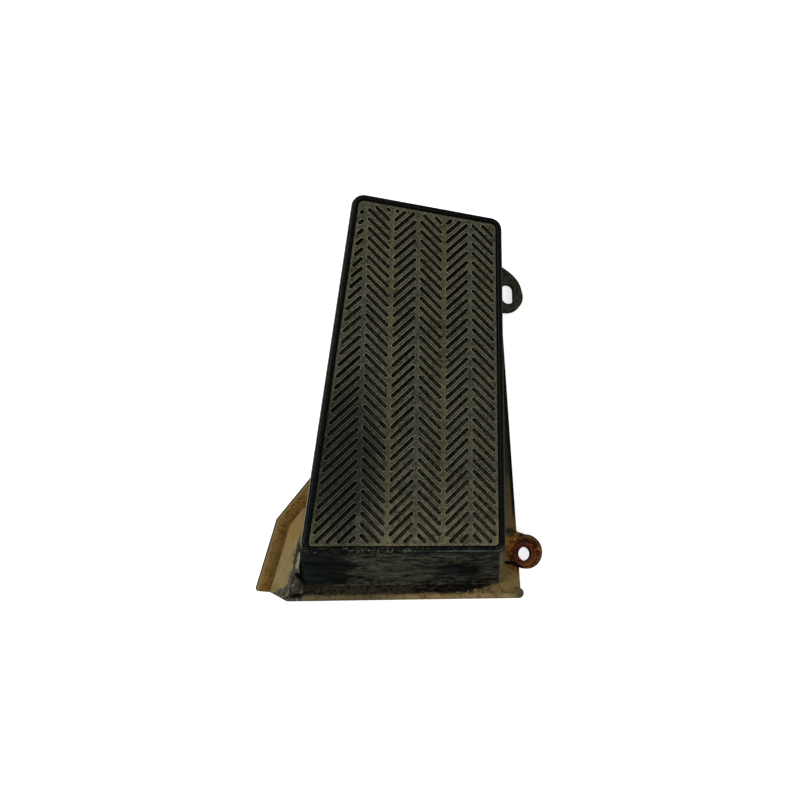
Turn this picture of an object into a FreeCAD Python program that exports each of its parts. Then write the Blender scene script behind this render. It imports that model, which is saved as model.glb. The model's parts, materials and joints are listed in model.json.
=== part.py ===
import FreeCAD, Part
import math
import os

# A driver's footrest: a tapered, wedge-shaped plastic housing with an inset rubber tread, seated on
# a flanged base moulding that is bolted to the floor through two ears on its right side.
# Millimetres. +Z is up from the floor, +Y runs from the heel end to the toe end, +X is to the right.
# The origin is the centre of the lower bolt hole, on the floor face.

Vector = FreeCAD.Vector
UP = Vector(0, 0, 1)

# Tread: a plane that rises towards the toe
tread_slope = 4.0            # degrees
heel_height = 42.0           # tread surface above the floor at the heel edge
rim_right = -23.0            # x of the rim's straight right edge
rim_heel = 1.0               # y of the rim's heel edge
rim_heel_width = 126.5
rim_toe_width = 100.8
rim_right_length = 220.0     # along the slope
rim_left_rise = 12.0         # how much further the toe edge reaches on the left
rim_heel_radius = 6.0
rim_toe_radius = 8.0

# Rim bead, recess and housing walls
bead_proud = 0.8             # bead crest above the tread surface
bead_depth = 2.4             # bead foot below the tread surface
bead_width = 3.7
bead_outer_round = 1.7
bead_inner_round = 1.0
step_width = 0.5             # ledge of the wall outside the bead
pad_gap = 0.5                # between bead and tread pad
pad_thickness = 4.2
plate_thickness = 3.0
wall = 3.0
heel_wall_run = 20.5         # how far the end wall's foot lies outside the rim's heel edge
right_wall_run = 6.4
toe_wall_run = 4.0
left_foot_inset = 2.2        # the left wall leans outwards, so its foot lies inside the rim
foot_radii = (2.5, 4.0, 5.0, 5.0)

# Ribs and screw posts inside the housing
rib_depth = 12.0
rib_thickness = 2.0
post_radius = 4.2
post_inset = 6.5             # post centre inside the wall's foot
post_rows = (26.0, 116.0, 206.0)
pilot_radius = 1.8
pilot_depth = 14.0

# Herringbone slots in the tread
column_pitch = 17.5
row_pitch = 6.567
first_column = -4.7          # right-hand column line, from the rim's right edge
slot_columns = 5
first_row = 10.8             # second slot's centre from the rim's heel edge, along the slope
last_column_drop = 1.5       # the left-hand slots sit this much nearer the heel
slot_angle = 44.2            # degrees from the tread's width
slot_reach = 6.45            # half the slot's run in x, between its end caps' centres
slot_radius = 0.95
slot_depth = 2.6
slot_margins = (2.8, 3.2, 2.8, 2.0)   # end caps' centres to the pad's right, toe, left and heel edges

# Pegs under the tread pad
peg_radius = 2.6
peg_head_radius = 4.4
peg_clearance = 0.2
peg_columns = (-15.5, -38.5, -61.5, -84.5)
peg_rows = (18.0, 66.0, 114.0, 162.0, 202.0)

# Base moulding
base_thickness = 2.5
ledge_width = 11.5           # shelf under the housing's walls
boss_radius = 5.3
boss_height = 6.0
toe_flange = 9.0             # base edge outside the rim's toe edge
base_right_heel = -3.0       # x of the flange's right edge at the heel and at the toe
base_right_toe = -12.5
lip_outer = -28.5            # y of the heel lip's outer face
lip_width = 3.6
lip_height = 5.5
lip_round = 1.5
lip_right = -4.8
lip_knob_radius = 3.3        # rounded right-hand end of the lip
lip_left = -155.5

# Left wing: a flat flange strip outside a flared cheek wall
wing_heel = (-177.6, -22.0)
wing_kink = (-166.3, 22.7)
wing_toe = (-143.6, 52.3)
fold_heel = (-168.0, -22.8)
fold_mid = (-157.4, 18.9)
fold_toe = (-148.6, 28.0)
cheek_foot = (-157.0, -28.5)
cheek_crest_heel = (-151.2, 7.8, 36.0)
cheek_crest_toe = (-148.2, 28.0, 38.6)
cheek_skin = 2.4
cheek_gap = 0.3              # between cheek and housing wall

# Bolt ears and their steel sleeves
ear_height = 5.0
lower_ear_centre = (1.0, 1.5)
lower_ear_radius = 11.3
lower_tongue_heel = ((-16.0, -4.6), (-8.2, -6.2), (-3.6, -8.9))
lower_tongue_toe = 14.3      # y of the tongue's straight side
lower_ear_fillet = ((-3.6, 14.2), (-5.6, 16.8), (-7.6, 20.5), (-12.0, 20.5), (-12.0, 14.2))
bolt_radius = 4.5
sleeve_wall = 1.6
sleeve_flange_radius = 8.0
sleeve_flange = 1.2
sleeve_fit = 0.1
upper_slot_centre = (-5.7, 187.0)
upper_slot_length = 16.0
upper_ear_centre = (-6.5, 185.2)
upper_ear_radius = 12.3
upper_ear_gusset = ((1.4, 198.6), (-4.4, 204.4), (-14.0, 210.5))

# Self-tapping screws that join the base to the housing
screw_head_radius = 3.4
screw_head_height = 2.3
screw_shank_radius = 1.75
screw_length = 16.0
counterbore_radius = 3.8
counterbore_depth = 2.8
clearance_radius = 2.0
cross_width = 1.1
cross_reach = 2.2
cross_depth = 1.3


def tread_placement():
    """Frame of the tread: x along the heel edge from the right corner, y up the slope."""
    corner = Vector(rim_right, rim_heel, heel_height)
    return FreeCAD.Placement(corner, FreeCAD.Rotation(Vector(1, 0, 0), tread_slope))


def placed(shape, placement):
    moved = shape.copy()
    moved.Placement = placement.multiply(moved.Placement)
    return moved


def inset_polygon(points, distance):
    """Move each side of an anticlockwise polygon inwards by its own distance."""
    count = len(points)
    sides = []
    for index in range(count):
        start = Vector(points[index][0], points[index][1], 0)
        end = Vector(points[(index + 1) % count][0], points[(index + 1) % count][1], 0)
        along = (end - start).normalize()
        inward = Vector(-along.y, along.x, 0)
        shift = distance[index] if isinstance(distance, (list, tuple)) else distance
        sides.append((start + inward * shift, along))
    corners = []
    for index in range(count):
        point_a, along_a = sides[index - 1]
        point_b, along_b = sides[index]
        cross = along_a.x * along_b.y - along_a.y * along_b.x
        gap = point_b - point_a
        travel = (gap.x * along_b.y - gap.y * along_b.x) / cross
        meeting = point_a + along_a * travel
        corners.append((meeting.x, meeting.y))
    return corners


def rounded_wire(points, radii, height=0.0):
    """Closed wire through the corners, each rounded by a tangent arc."""
    count = len(points)
    corners = [Vector(point[0], point[1], height) for point in points]
    arcs = []
    for index in range(count):
        corner = corners[index]
        before = (corners[index - 1] - corner).normalize()
        after = (corners[(index + 1) % count] - corner).normalize()
        half = before.getAngle(after) / 2
        radius = radii[index]
        reach = radius / math.tan(half)
        middle = (before + after).normalize()
        crest = corner + middle * (radius / math.sin(half) - radius)
        arcs.append((corner + before * reach, crest, corner + after * reach))
    edges = []
    for index in range(count):
        start, crest, end = arcs[index]
        edges.append(Part.Arc(start, crest, end).toShape())
        edges.append(Part.makeLine(end, arcs[(index + 1) % count][0]))
    return Part.Wire(edges)


def prism(wire, height):
    return Part.Face(wire).extrude(UP * height)


def cylinder(radius, height, centre, bottom):
    return Part.makeCylinder(radius, height, Vector(centre[0], centre[1], bottom))


def slot_prism(length, radius, centre, bottom, height):
    """Upright prism of an obround hole that runs along y."""
    half = length / 2 - radius
    x, y = centre
    sides = ((1, -1), (1, 1), (-1, 1), (-1, -1))
    points = [Vector(x + radius * across, y + half * along, bottom) for across, along in sides]
    edges = [
        Part.makeLine(points[0], points[1]),
        Part.Arc(points[1], Vector(x, y + half + radius, bottom), points[2]).toShape(),
        Part.makeLine(points[2], points[3]),
        Part.Arc(points[3], Vector(x, y - half - radius, bottom), points[0]).toShape(),
    ]
    return prism(Part.Wire(edges), height)


def rim_corners():
    """Rim outline in the tread's frame, anticlockwise from the heel's right corner."""
    toe_left = (-rim_toe_width, rim_right_length + rim_left_rise)
    return [(0, 0), (0, rim_right_length), toe_left, (-rim_heel_width, 0)]


def rim_radii(inset):
    radii = (rim_heel_radius, rim_toe_radius, rim_toe_radius, rim_heel_radius)
    return [max(radius - inset, 2.2) for radius in radii]


def rim_wire(inset, level):
    return rounded_wire(inset_polygon(rim_corners(), inset), rim_radii(inset), level)


def foot_corners():
    """Outline of the housing's foot in the row's frame, in the same order as the rim's."""
    rise = math.cos(math.radians(tread_slope))
    outline = [(rim_right + x, rim_heel + y * rise) for x, y in rim_corners()]
    return inset_polygon(outline, (-right_wall_run, -toe_wall_run, left_foot_inset, -heel_wall_run))


def left_wall_x(y, z=base_thickness):
    """x of the outside of the housing's left wall, which leans outwards from its foot."""
    toe_left, heel_left = foot_corners()[2:4]
    share = (y - heel_left[1]) / (toe_left[1] - heel_left[1])
    foot_x = heel_left[0] + share * (toe_left[0] - heel_left[0])
    top_z = heel_height - bead_depth + max(y - rim_heel, 0) * math.tan(math.radians(tread_slope))
    lean = (left_foot_inset + step_width) * (z - base_thickness) / (top_z - base_thickness)
    return foot_x - lean


def right_wall_x(y):
    return foot_corners()[0][0]


def post_centres():
    centres = []
    for y in post_rows:
        centres.append((right_wall_x(y) - post_inset, y))
        centres.append((left_wall_x(y) + post_inset, y))
    return centres


def tapered_block(top_inset, top_level, foot_inset, foot_level):
    """Solid between an outline under the tread and an outline at the foot."""
    top = placed(rim_wire(top_inset, top_level), tread_placement())
    corners = inset_polygon(foot_corners(), foot_inset)
    foot = rounded_wire(corners, foot_radii, foot_level)
    return Part.makeLoft([foot, top], True, True)


def bead():
    """Rounded rim that stands round the tread pad."""
    ring = prism(rim_wire(0, -bead_depth - 0.5), bead_depth + 0.5 + bead_proud)
    top_edges = [edge for edge in ring.Edges if edge.BoundBox.ZMin > bead_proud - 0.01]
    ring = ring.makeFillet(bead_outer_round, top_edges)
    recess = prism(rim_wire(bead_width, -pad_thickness), pad_thickness + bead_proud + 1)
    ring = ring.cut(recess)
    inner = [edge for edge in ring.Edges if edge.BoundBox.ZMin > bead_proud - 0.01]
    inner = [edge for edge in inner if is_inner_crest(edge)]
    return ring.makeFillet(bead_inner_round, inner)


def is_inner_crest(edge):
    """True for the bead's crest edge beside the recess."""
    middle = edge.valueAt((edge.FirstParameter + edge.LastParameter) / 2)
    boundary = rim_wire(bead_width, middle.z)
    return boundary.distToShape(Part.Vertex(middle))[0] < 0.05


def rib_grid():
    """Shallow ribs that stiffen the plate under the tread."""
    bottom = -pad_thickness - plate_thickness + 0.2 - rib_depth
    pitch_x = peg_columns[0] - peg_columns[1]
    ribs = []
    for x in peg_columns:
        corner = Vector(x - (pitch_x + rib_thickness) / 2, 0, bottom)
        ribs.append(Part.makeBox(rib_thickness, rim_right_length + rim_left_rise, rib_depth, corner))
    row_ends = peg_rows[1:] + (rim_right_length + rim_left_rise,)
    for below, above in zip(peg_rows, row_ends):
        corner = Vector(-rim_heel_width, (below + above - rib_thickness) / 2, bottom)
        ribs.append(Part.makeBox(rim_heel_width, rib_thickness, rib_depth, corner))
    return placed(ribs[0].multiFuse(ribs[1:]), tread_placement())


def screw_posts():
    posts = [cylinder(post_radius, heel_height + 20, centre, boss_height) for centre in post_centres()]
    return posts[0].multiFuse(posts[1:])


def upper_housing():
    """Hollow box with the bead, the plate under the tread, ribs and screw posts."""
    outer = tapered_block(-step_width, -bead_depth, 0, base_thickness)
    ceiling = -pad_thickness - plate_thickness
    cavity = tapered_block(wall - step_width, ceiling, wall, base_thickness - 1)
    mid_wall = tapered_block(wall / 2 - step_width, -bead_depth, wall / 2, base_thickness)
    inside = screw_posts().fuse(rib_grid()).common(mid_wall)
    shell = outer.cut(cavity).fuse(inside)
    recess = placed(prism(rim_wire(bead_width, -pad_thickness), pad_thickness + 2), tread_placement())
    shell = shell.cut(recess).fuse(placed(bead(), tread_placement()))
    holes = [cylinder(pilot_radius, pilot_depth, centre, boss_height) for centre in post_centres()]
    for x, y in peg_places():
        hole = cylinder(peg_radius + peg_clearance, plate_thickness + 4, (x, y), ceiling - 3)
        relief = cylinder(peg_head_radius + 1, rib_depth + 1, (x, y), ceiling - rib_depth - 1)
        holes.append(placed(hole, tread_placement()))
        holes.append(placed(relief, tread_placement()))
    return shell.cut(holes).removeSplitter()


def peg_places():
    return [(x, y) for x in peg_columns for y in peg_rows]


def slot_lines():
    """Start and end of each herringbone slot in the tread's frame, before its end caps."""
    border = inset_polygon(rim_corners(), [bead_width + pad_gap + margin for margin in slot_margins])
    rise = math.tan(math.radians(slot_angle))
    lines = []
    rows = int((rim_right_length + rim_left_rise) / row_pitch) + 4
    for column in range(slot_columns + 1):
        centre_x = first_column - (column + 0.5) * column_pitch
        falling = column % 2 == 0
        direction = -1 if falling else 1
        for row in range(-3, rows):
            centre_y = first_row + row * row_pitch
            left_reach = slot_reach
            if column == slot_columns:
                centre_y -= last_column_drop
                left_reach = 2.5 * column_pitch
            start = (centre_x - left_reach, centre_y - direction * left_reach * rise)
            end = (centre_x + slot_reach, centre_y + direction * slot_reach * rise)
            clipped = clip_line(start, end, border)
            if clipped:
                lines.append(clipped)
    return lines


def clip_line(start, end, polygon):
    """Part of a line inside an anticlockwise convex polygon, or None."""
    first, last = 0.0, 1.0
    delta = (end[0] - start[0], end[1] - start[1])
    for index in range(len(polygon)):
        corner = polygon[index]
        after = polygon[(index + 1) % len(polygon)]
        normal = (corner[1] - after[1], after[0] - corner[0])
        slope = normal[0] * delta[0] + normal[1] * delta[1]
        height = normal[0] * (start[0] - corner[0]) + normal[1] * (start[1] - corner[1])
        if abs(slope) < 1e-9:
            if height < 0:
                return None
            continue
        crossing = -height / slope
        if slope > 0:
            first = max(first, crossing)
        else:
            last = min(last, crossing)
    if (last - first) * math.hypot(delta[0], delta[1]) < 0.3:
        return None
    point_a = (start[0] + first * delta[0], start[1] + first * delta[1])
    point_b = (start[0] + last * delta[0], start[1] + last * delta[1])
    return point_a, point_b


def slot_cutter(start, end):
    """Groove with rounded ends between two points of the tread surface."""
    length = math.hypot(end[0] - start[0], end[1] - start[1])
    middle = ((start[0] + end[0]) / 2, (start[1] + end[1]) / 2)
    groove = slot_prism(length + 2 * slot_radius, slot_radius, (0, 0), -slot_depth, slot_depth + 1)
    turn = math.degrees(math.atan2(end[1] - start[1], end[0] - start[0])) - 90
    spot = FreeCAD.Placement(Vector(middle[0], middle[1], 0), FreeCAD.Rotation(UP, turn))
    return placed(groove, spot)


def tread_pad():
    """Rubber insert with herringbone slots, held by mushroom pegs pulled through the plate."""
    inset = bead_width + pad_gap
    pad = prism(rim_wire(inset, -pad_thickness), pad_thickness)
    cutters = [slot_cutter(start, end) for start, end in slot_lines()]
    pad = pad.cut(Part.makeCompound(cutters))
    plate_under = -pad_thickness - plate_thickness
    pegs = []
    for x, y in peg_places():
        pegs.append(cylinder(peg_radius, plate_thickness + 1, (x, y), plate_under - 0.5))
        head = Part.makeCone(peg_radius, peg_head_radius, 3.0, Vector(x, y, plate_under - 3.3))
        pegs.append(head)
    return placed(pad.multiFuse(pegs), tread_placement())


def heel_lip():
    """Raised bead along the heel edge of the base, with a knob at its right-hand end."""
    length = lip_right - lip_left
    lip = Part.makeBox(length, lip_width, lip_height, Vector(lip_left, lip_outer, 0))
    knob = cylinder(lip_knob_radius, lip_height, (lip_right, lip_outer + lip_knob_radius), 0)
    lip = lip.fuse(knob).removeSplitter()
    crest = [edge for edge in lip.Edges if edge.BoundBox.ZMin > lip_height - 0.01]
    crest = [edge for edge in crest if edge.BoundBox.XMax > lip_left + 0.1]
    return lip.makeFillet(lip_round, crest)


def polygon_face(points):
    vectors = [Vector(*point) for point in points]
    return Part.Face(Part.makePolygon(vectors + vectors[:1]))


def polygon_prism(points, height):
    """Prism that stands on the floor face over the corners given."""
    return polygon_face([(x, y, 0) for x, y in points]).extrude(UP * height)


def cheek_inner(y, z):
    """Point of the cheek's face beside the housing wall."""
    return (left_wall_x(y, z) - cheek_gap, y, z)


def cheek_block():
    """Wedge that fills the space between the housing's left wall and the fold line."""
    fold = (fold_heel, fold_mid, fold_toe)
    fold_low = [(x, y, 0) for x, y in fold]
    fold_top = [(x, y, base_thickness) for x, y in fold]
    foot_low = cheek_foot + (0,)
    foot_top = cheek_foot + (lip_height,)
    ramp_y = lip_outer + lip_width
    ramp_low = cheek_inner(ramp_y, 0)
    ramp_top = cheek_inner(ramp_y, base_thickness + 0.5)
    crest_heel = cheek_crest_heel
    crest_toe = cheek_crest_toe
    inner_heel = cheek_inner(crest_heel[1], crest_heel[2])
    inner_toe = cheek_inner(crest_toe[1], crest_toe[2])
    inner_toe_low = cheek_inner(crest_toe[1], 0)
    polygons = [
        [ramp_low, inner_toe_low, fold_low[2], fold_low[1], fold_low[0], foot_low],
        [fold_low[0], fold_low[1], fold_top[1], fold_top[0]],
        [fold_low[1], fold_low[2], fold_top[2], fold_top[1]],
        [foot_low, fold_low[0], fold_top[0], foot_top],
        [ramp_low, foot_low, foot_top],
        [ramp_low, foot_top, ramp_top],
        [fold_top[0], fold_top[1], crest_heel],
        [fold_top[0], crest_heel, foot_top],
        [fold_top[1], crest_toe, crest_heel],
        [fold_top[1], fold_top[2], crest_toe],
        [foot_top, crest_heel, ramp_top],
        [ramp_top, crest_heel, inner_heel],
        [crest_heel, crest_toe, inner_toe],
        [crest_heel, inner_toe, inner_heel],
        [ramp_low, ramp_top, inner_heel],
        [ramp_low, inner_heel, inner_toe_low],
        [inner_heel, inner_toe, inner_toe_low],
        [inner_toe_low, inner_toe, crest_toe, fold_top[2], fold_low[2]],
    ]
    faces = [polygon_face(points) for points in polygons]
    return Part.makeSolid(Part.makeShell(faces))


def cheek_hollow():
    """Pyramid cut out of the cheek from below, which leaves it a moulded skin."""
    heel_y = lip_outer + 9.0
    toe_y = fold_mid[1] - 5.4
    corners = [
        (fold_heel[0] + 5.5, heel_y, -1),
        (fold_mid[0] + 1.8, toe_y, -1),
        (left_wall_x(toe_y) - cheek_gap - cheek_skin, toe_y, -1),
        (left_wall_x(heel_y) - cheek_gap - cheek_skin, heel_y, -1),
    ]
    apex_y = cheek_crest_heel[1] - 1
    apex_z = cheek_crest_heel[2] - 9
    apex = (left_wall_x(apex_y, apex_z) - cheek_gap - cheek_skin, apex_y, apex_z)
    faces = [polygon_face(corners)]
    for index in range(4):
        faces.append(polygon_face([corners[index], corners[(index + 1) % 4], apex]))
    return Part.makeSolid(Part.makeShell(faces))


def base_plate():
    """Flange, shelf under the housing and the strip of the wing."""
    rise = math.cos(math.radians(tread_slope))
    outline = [(rim_right + x, rim_heel + y * rise) for x, y in rim_corners()]
    edge = inset_polygon(outline, (0, -toe_flange, 0.3, 0))
    toe_left = edge[2]
    toe_right_y = edge[1][1] - (base_right_toe - edge[1][0]) * rim_left_rise / rim_toe_width
    points = [
        (lip_right, lip_outer),
        (base_right_heel, lip_outer + 1.0),
        (base_right_toe, toe_right_y),
        toe_left,
        wing_toe,
        wing_kink,
        wing_heel,
        fold_heel,
        cheek_foot,
    ]
    radii = [0.2, 0.4, 6.0, 4.0, 1.0, 1.5, 2.0, 1.0, 0.5]
    plate = prism(rounded_wire(points, radii), base_thickness)
    window = inset_polygon(foot_corners(), ledge_width)
    opening = prism(rounded_wire(window, [8.0] * 4, -1), base_thickness + 2)
    return plate.cut(opening)


def lower_ear():
    """Round lug with a thick tongue that runs in to the housing wall."""
    x, y = lower_ear_centre
    lug = cylinder(lower_ear_radius, ear_height, lower_ear_centre, 0)
    heel_side = list(lower_tongue_heel) + [(x, y - lower_ear_radius + 0.1)]
    toe_side = [(x, y + lower_ear_radius - 0.1), (lower_ear_fillet[0][0], lower_tongue_toe)]
    tongue = polygon_prism(heel_side + toe_side + [(heel_side[0][0], lower_tongue_toe)], ear_height)
    fillet = polygon_prism(lower_ear_fillet, base_thickness)
    lug = lug.multiFuse([tongue, fillet])
    seat = ear_height - sleeve_flange
    pocket = cylinder(sleeve_flange_radius + sleeve_fit, sleeve_flange + 1, (0, 0), seat)
    hole = cylinder(bolt_radius + sleeve_wall + sleeve_fit, ear_height + 2, (0, 0), -1)
    return lug, [pocket, hole]


def upper_ear():
    """Lug with a slotted hole and a gusset that fades into the flange towards the toe."""
    x, y = upper_ear_centre
    radius = upper_ear_radius
    start = Vector(right_wall_x(0) + 2, y - radius, 0)
    below = Vector(x, y - radius, 0)
    side = Vector(x + radius * math.cos(math.radians(20)), y + radius * math.sin(math.radians(20)), 0)
    bulge = Vector(x + radius * math.cos(math.radians(-35)), y + radius * math.sin(math.radians(-35)), 0)
    gusset = [Vector(px, py, 0) for px, py in upper_ear_gusset]
    back = Vector(start.x, gusset[-1].y, 0)
    edges = [Part.makeLine(start, below), Part.Arc(below, bulge, side).toShape()]
    curve = Part.BSplineCurve()
    curve.interpolate([side] + gusset)
    edges.append(curve.toShape())
    edges.append(Part.makeLine(gusset[-1], back))
    edges.append(Part.makeLine(back, start))
    lug = prism(Part.Wire(edges), ear_height)
    width = bolt_radius + sleeve_wall + sleeve_fit
    length = upper_slot_length + 2 * (sleeve_wall + sleeve_fit)
    return lug, [slot_prism(length, width, upper_slot_centre, -1, ear_height + 2)]


def base_moulding():
    """Flanged base with the heel lip, the wing with its cheek, the ears and the screw bosses."""
    base = base_plate().fuse(heel_lip())
    base = base.fuse(cheek_block()).cut(cheek_hollow())
    lower, lower_cuts = lower_ear()
    upper, upper_cuts = upper_ear()
    bosses = [cylinder(boss_radius, boss_height, centre, 0) for centre in post_centres()]
    inside = tapered_block(wall - step_width, -pad_thickness, wall + 0.3, 0)
    bosses = [boss.common(inside) for boss in bosses]
    base = base.multiFuse([lower, upper] + bosses)
    cuts = lower_cuts + upper_cuts
    for centre in post_centres():
        cuts.append(cylinder(counterbore_radius, counterbore_depth, centre, 0))
        cuts.append(cylinder(clearance_radius, boss_height + 2, centre, -1))
    return base.cut(cuts).removeSplitter()


def lower_ear_sleeve():
    """Flanged steel sleeve that carries the bolt's clamping load."""
    tube = cylinder(bolt_radius + sleeve_wall, ear_height, (0, 0), 0)
    flange = cylinder(sleeve_flange_radius, sleeve_flange, (0, 0), ear_height - sleeve_flange)
    sleeve = tube.fuse(flange).cut(cylinder(bolt_radius, ear_height + 2, (0, 0), -1))
    return sleeve.removeSplitter()


def upper_ear_sleeve():
    """Oblong steel sleeve in the slotted ear."""
    length = upper_slot_length + 2 * sleeve_wall
    outer = slot_prism(length, bolt_radius + sleeve_wall, upper_slot_centre, 0, ear_height)
    return outer.cut(slot_prism(upper_slot_length, bolt_radius, upper_slot_centre, -1, ear_height + 2))


def case_screws():
    """Cross-recessed self-tapping screws, driven from below."""
    screws = []
    for x, y in post_centres():
        top = counterbore_depth
        head = cylinder(screw_head_radius, screw_head_height, (x, y), top - screw_head_height)
        rim = [edge for edge in head.Edges if edge.BoundBox.ZMax < top - screw_head_height + 0.01]
        head = head.makeFillet(0.8, rim[:1])
        shank = cylinder(screw_shank_radius, screw_length - 3.0, (x, y), top)
        point = Part.makeCone(screw_shank_radius, 0.3, 3.0, Vector(x, y, top + screw_length - 3.0))
        low = top - screw_head_height
        corner_a = Vector(x - cross_reach, y - cross_width / 2, low)
        corner_b = Vector(x - cross_width / 2, y - cross_reach, low)
        slot_a = Part.makeBox(2 * cross_reach, cross_width, cross_depth, corner_a)
        slot_b = Part.makeBox(cross_width, 2 * cross_reach, cross_depth, corner_b)
        screws.append(head.multiFuse([shank, point]).cut([slot_a, slot_b]))
    return Part.makeCompound(screws)


def main():
    os.makedirs("parts", exist_ok=True)
    nodes = {
        "upper_housing": upper_housing(),
        "tread_pad": tread_pad(),
        "base_moulding": base_moulding(),
        "lower_ear_sleeve": lower_ear_sleeve(),
        "upper_ear_sleeve": upper_ear_sleeve(),
        "case_screws": case_screws(),
    }
    for name, shape in nodes.items():
        box = shape.BoundBox
        print(name, "valid", shape.isValid(), "solids", len(shape.Solids), "volume", round(shape.Volume, 1),
              [round(v, 1) for v in (box.XMin, box.YMin, box.ZMin, box.XMax, box.YMax, box.ZMax)])
        shape.exportStep("parts/" + name + ".step")


main()
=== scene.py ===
import bpy
import json
import math
import random
from mathutils import Matrix, Vector, geometry, noise
from types import SimpleNamespace

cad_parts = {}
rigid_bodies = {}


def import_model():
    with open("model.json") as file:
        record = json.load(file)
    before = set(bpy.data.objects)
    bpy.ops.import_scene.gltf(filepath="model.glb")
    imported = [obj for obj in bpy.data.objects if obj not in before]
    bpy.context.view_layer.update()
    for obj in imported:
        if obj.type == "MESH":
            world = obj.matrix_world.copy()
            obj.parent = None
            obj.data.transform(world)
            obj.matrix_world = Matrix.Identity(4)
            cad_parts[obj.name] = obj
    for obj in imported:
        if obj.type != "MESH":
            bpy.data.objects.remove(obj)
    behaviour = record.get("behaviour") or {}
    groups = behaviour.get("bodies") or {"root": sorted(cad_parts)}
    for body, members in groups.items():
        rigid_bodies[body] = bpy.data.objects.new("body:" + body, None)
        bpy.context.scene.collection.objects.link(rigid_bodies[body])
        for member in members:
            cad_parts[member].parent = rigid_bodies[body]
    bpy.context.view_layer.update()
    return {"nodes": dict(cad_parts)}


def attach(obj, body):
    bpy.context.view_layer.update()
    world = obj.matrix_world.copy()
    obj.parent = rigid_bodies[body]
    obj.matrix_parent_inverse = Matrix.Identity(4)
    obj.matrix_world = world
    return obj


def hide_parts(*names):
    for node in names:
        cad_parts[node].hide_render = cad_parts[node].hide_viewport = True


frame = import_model()
nodes = frame["nodes"]
random.seed(7)
MM = 0.001

# Tread plane and slot pattern, in millimetres, as in the CAD
TREAD_ORIGIN = Vector((-23.0, 1.0, 42.0))
TREAD_SLOPE = math.radians(4.0)
RIM = [(0.0, 0.0), (0.0, 220.0), (-100.8, 232.0), (-126.5, 0.0)]
RIM_RADII = (6.0, 8.0, 8.0, 6.0)
PAD_INSET = 4.2
PAD_THICKNESS = 4.2
SLOT_PITCH_X = 17.5
SLOT_PITCH_Y = 6.567
SLOT_FIRST_X = -4.7
SLOT_FIRST_Y = 10.8
SLOT_LAST_DROP = 1.5
SLOT_REACH = 6.45
SLOT_LAST_REACH = 2.5 * SLOT_PITCH_X
SLOT_COLUMNS = 6
SLOT_ROWS = range(-3, 40)
SLOT_SHORTEST = 0.3
SLOT_END_STEPS = 7
SLOT_ANGLE = math.radians(44.2)
SLOT_MARGINS = (2.8, 3.2, 2.8, 2.75)
TOE_SLOT = ((-71.6, 221.0), (-71.2, 221.2))
CORNER_STEPS = 8
CORNER_LEAST_RADIUS = 2.2
PEG_COLUMNS = (-15.5, -38.5, -61.5, -84.5)
PEG_ROWS = (18.0, 66.0, 114.0, 162.0, 202.0)


# ---------------------------------------------------------------- outlines and meshes

def inset(points, distance):
    """Anticlockwise polygon with each side moved inwards by its own distance."""
    count = len(points)
    sides = []
    for i in range(count):
        a = Vector(points[i])
        b = Vector(points[(i + 1) % count])
        along = (b - a).normalized()
        shift = distance[i] if isinstance(distance, (list, tuple)) else distance
        sides.append((a + Vector((-along.y, along.x)) * shift, along))
    corners = []
    for i in range(count):
        pa, da = sides[i - 1]
        pb, db = sides[i]
        cross = da.x * db.y - da.y * db.x
        gap = pb - pa
        corners.append(pa + da * ((gap.x * db.y - gap.y * db.x) / cross))
    return corners


def rounded(points, radii):
    """Points round a polygon whose corners are arcs."""
    loop = []
    count = len(points)
    for i in range(count):
        corner = Vector(points[i])
        before = (Vector(points[i - 1]) - corner).normalized()
        after = (Vector(points[(i + 1) % count]) - corner).normalized()
        half = before.angle(after) / 2
        middle = corner + (before + after).normalized() * (radii[i] / math.sin(half))
        start = corner + before * (radii[i] / math.tan(half)) - middle
        end = corner + after * (radii[i] / math.tan(half)) - middle
        sweep = start.angle_signed(end)
        for k in range(CORNER_STEPS + 1):
            turn = -sweep * k / CORNER_STEPS
            loop.append(middle + Vector((
                start.x * math.cos(turn) - start.y * math.sin(turn),
                start.x * math.sin(turn) + start.y * math.cos(turn),
            )))
    return loop


def rim_loop(distance):
    """The rim's outline moved inwards by a distance."""
    radii = [max(radius - distance, CORNER_LEAST_RADIUS) for radius in RIM_RADII]
    return rounded(inset(RIM, distance), radii)


def tread_point(x, y, z):
    """Point given in the tread's frame, in the row frame, in metres."""
    c, s = math.cos(TREAD_SLOPE), math.sin(TREAD_SLOPE)
    return (TREAD_ORIGIN + Vector((x, y * c - z * s, y * s + z * c))) * MM


def make_object(name, parts, material):
    """Smooth mesh object on the root body, with the given material."""
    mesh = bpy.data.meshes.new(name)
    mesh.from_pydata([tuple(v) for v in parts.verts], [], parts.faces)
    mesh.validate()
    mesh.materials.append(material)
    for polygon in mesh.polygons:
        polygon.use_smooth = True
    obj = bpy.data.objects.new(name, mesh)
    bpy.context.scene.collection.objects.link(obj)
    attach(obj, "root")
    return obj


def clip(a, b, polygon):
    """Part of a segment inside an anticlockwise convex polygon, or None."""
    first, last = 0.0, 1.0
    delta = b - a
    for i in range(len(polygon)):
        corner = polygon[i]
        side = polygon[(i + 1) % len(polygon)] - corner
        normal = Vector((-side.y, side.x))
        slope = normal.dot(delta)
        height = normal.dot(a - corner)
        if abs(slope) < 1e-9:
            if height < 0:
                return None
            continue
        if slope > 0:
            first = max(first, -height / slope)
        else:
            last = min(last, -height / slope)
    if (last - first) * delta.length < SLOT_SHORTEST:
        return None
    return a + delta * first, a + delta * last


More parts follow.
